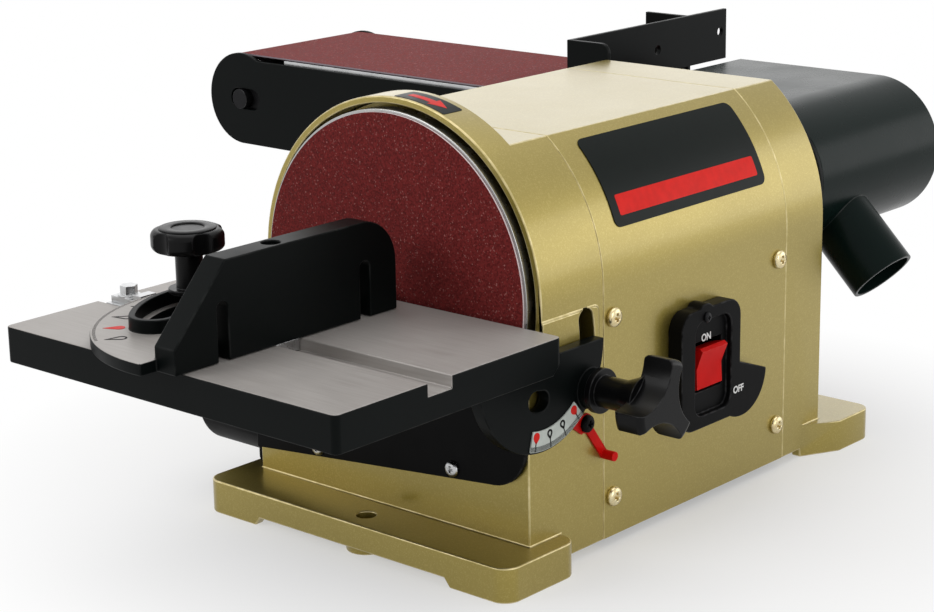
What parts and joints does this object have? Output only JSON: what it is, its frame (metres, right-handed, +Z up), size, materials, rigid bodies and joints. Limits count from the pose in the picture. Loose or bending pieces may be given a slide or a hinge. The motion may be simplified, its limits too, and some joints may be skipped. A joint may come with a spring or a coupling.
{
  "type": "bench belt and disc sander",
  "caption": "Bench sanding machine with a vertical abrasive disc and tilting mitre table at one end and a tilting belt arm across the other, on a cast base.",
  "frame": {"origin": "on the bench, midway between the two bench bolt holes", "axes": "+X towards the switch side, +Y from the disc towards the belt, +Z up"},
  "size_m": [0.4897, 0.5163, 0.2018],
  "materials": {
    "gold_paint": "metallic satin",
    "black_paint": "satin",
    "black_plastic": "matte",
    "cast_table": "brushed top",
    "aluminium": "machined",
    "steel": "satin",
    "motor_core": "matte",
    "rubber": "matte",
    "abrasive": "gritty",
    "red_plastic": "gloss",
    "white_scale": "printed"
  },
  "bodies": {
    "machine": {"front_casting": "gold_paint", "rear_casting": "gold_paint", "motor_cover": "gold_paint", "bottom_plate": "black_paint", "cover_screws": "steel", "disc_guard": "black_plastic", "guard_screws": "steel", "dust_spout": "black_plastic", "stator": "motor_core", "stator_bolts": "steel", "front_bearing": "steel", "rear_bearing": "steel", "capacitor": "black_plastic", "drive_belt": "rubber", "drum_bearing": "steel", "cord_gland": "black_plastic", "switch_plate": "black_plastic", "pivot_pins": "steel", "tilt_pointer": "red_plastic", "pointer_screw": "steel"},
    "spindle": {"disc_plate": "aluminium", "sanding_disc": "abrasive", "motor_shaft": "steel", "rotor": "motor_core", "cooling_fan": "black_plastic", "motor_pulley": "aluminium"},
    "drum": {"drive_drum": "aluminium", "drum_shaft": "steel", "drum_pulley": "aluminium"},
    "belt_arm": {"front_side_plate": "black_paint", "rear_side_plate": "black_paint", "platen": "steel", "spacer_tubes": "steel", "belt_hood": "black_paint", "hood_screws": "steel", "work_stop": "black_paint", "stop_screws": "steel", "sanding_belt": "abrasive"},
    "idler_carriage": {"idler_fork": "steel", "idler_axle": "steel"},
    "idler": {"idler_roller": "aluminium"},
    "tension_lever": {"tension_lever": "black_plastic"},
    "tracking_knob": {"tracking_knob": "black_plastic"},
    "table": {"table": "cast_table", "right_trunnion": "black_paint", "left_trunnion": "black_paint", "trunnion_screws": "steel", "tilt_scale": "white_scale", "lock_stud": "steel"},
    "lock_knob": {"lock_knob": "black_plastic"},
    "mitre_gauge": {"mitre_bar": "steel", "mitre_pointer": "steel"},
    "mitre_head": {"mitre_head": "black_paint"},
    "mitre_knob": {"mitre_knob": "black_plastic"},
    "switch_rocker": {"switch_rocker": "red_plastic"}
  },
  "joints": [
    {"name": "disc_spin", "type": "hinge", "parent": "machine", "child": "spindle", "pos_m": [0, -0.111, 0.119], "axis": [0, 1, 0], "continuous": true},
    {"name": "drum_spin", "type": "hinge", "parent": "machine", "child": "drum", "pos_m": [0.044, 0.16, 0.1335], "axis": [0, 1, 0], "continuous": true},
    {"name": "belt_tilt", "type": "hinge", "parent": "machine", "child": "belt_arm", "pos_m": [0.044, 0.111, 0.1335], "axis": [0, 1, 0], "range_deg": [0, 90]},
    {"name": "idler_slide", "type": "slide", "parent": "belt_arm", "child": "idler_carriage", "axis": [1, 0, 0], "range_m": [0, 0.006]},
    {"name": "idler_spin", "type": "hinge", "parent": "idler_carriage", "child": "idler", "pos_m": [-0.32995, 0.16, 0.1335], "axis": [0, 1, 0], "continuous": true},
    {"name": "tension_release", "type": "hinge", "parent": "belt_arm", "child": "tension_lever", "pos_m": [-0.22465, 0.218, 0.1295], "axis": [0, 1, 0], "range_deg": [0, 90]},
    {"name": "tracking_turn", "type": "hinge", "parent": "belt_arm", "child": "tracking_knob", "pos_m": [-0.28995, 0.222, 0.1295], "axis": [0, 1, 0], "range_deg": [-180, 180]},
    {"name": "table_tilt", "type": "hinge", "parent": "machine", "child": "table", "pos_m": [0, -0.1146, 0.1016], "axis": [1, 0, 0], "range_deg": [0, 45]},
    {"name": "table_lock", "type": "hinge", "parent": "table", "child": "lock_knob", "pos_m": [0.11, -0.08298, 0.08107], "axis": [1, 0, 0], "range_deg": [0, 360]},
    {"name": "mitre_slide", "type": "slide", "parent": "table", "child": "mitre_gauge", "axis": [1, 0, 0], "range_m": [-0.045, 0.08]},
    {"name": "mitre_swivel", "type": "hinge", "parent": "mitre_gauge", "child": "mitre_head", "pos_m": [0, -0.1885, 0.115], "axis": [0, 0, 1], "range_deg": [-45, 45]},
    {"name": "mitre_clamp", "type": "hinge", "parent": "mitre_gauge", "child": "mitre_knob", "pos_m": [-0.045, -0.1885, 0.14], "axis": [0, 0, 1], "range_deg": [0, 360]},
    {"name": "switch_rock", "type": "hinge", "parent": "machine", "child": "switch_rocker", "pos_m": [0.0838, 0.007, 0.07], "axis": [0, 1, 0], "range_deg": [-18, 0]}
  ],
  "couplings": [
    {"joint": "drum_spin", "follows": "disc_spin", "ratio": 0.9107},
    {"joint": "idler_spin", "follows": "disc_spin", "ratio": 0.9107},
    {"joint": "tension_release", "follows": "idler_slide", "rad_per_m": 261.7}
  ]
}
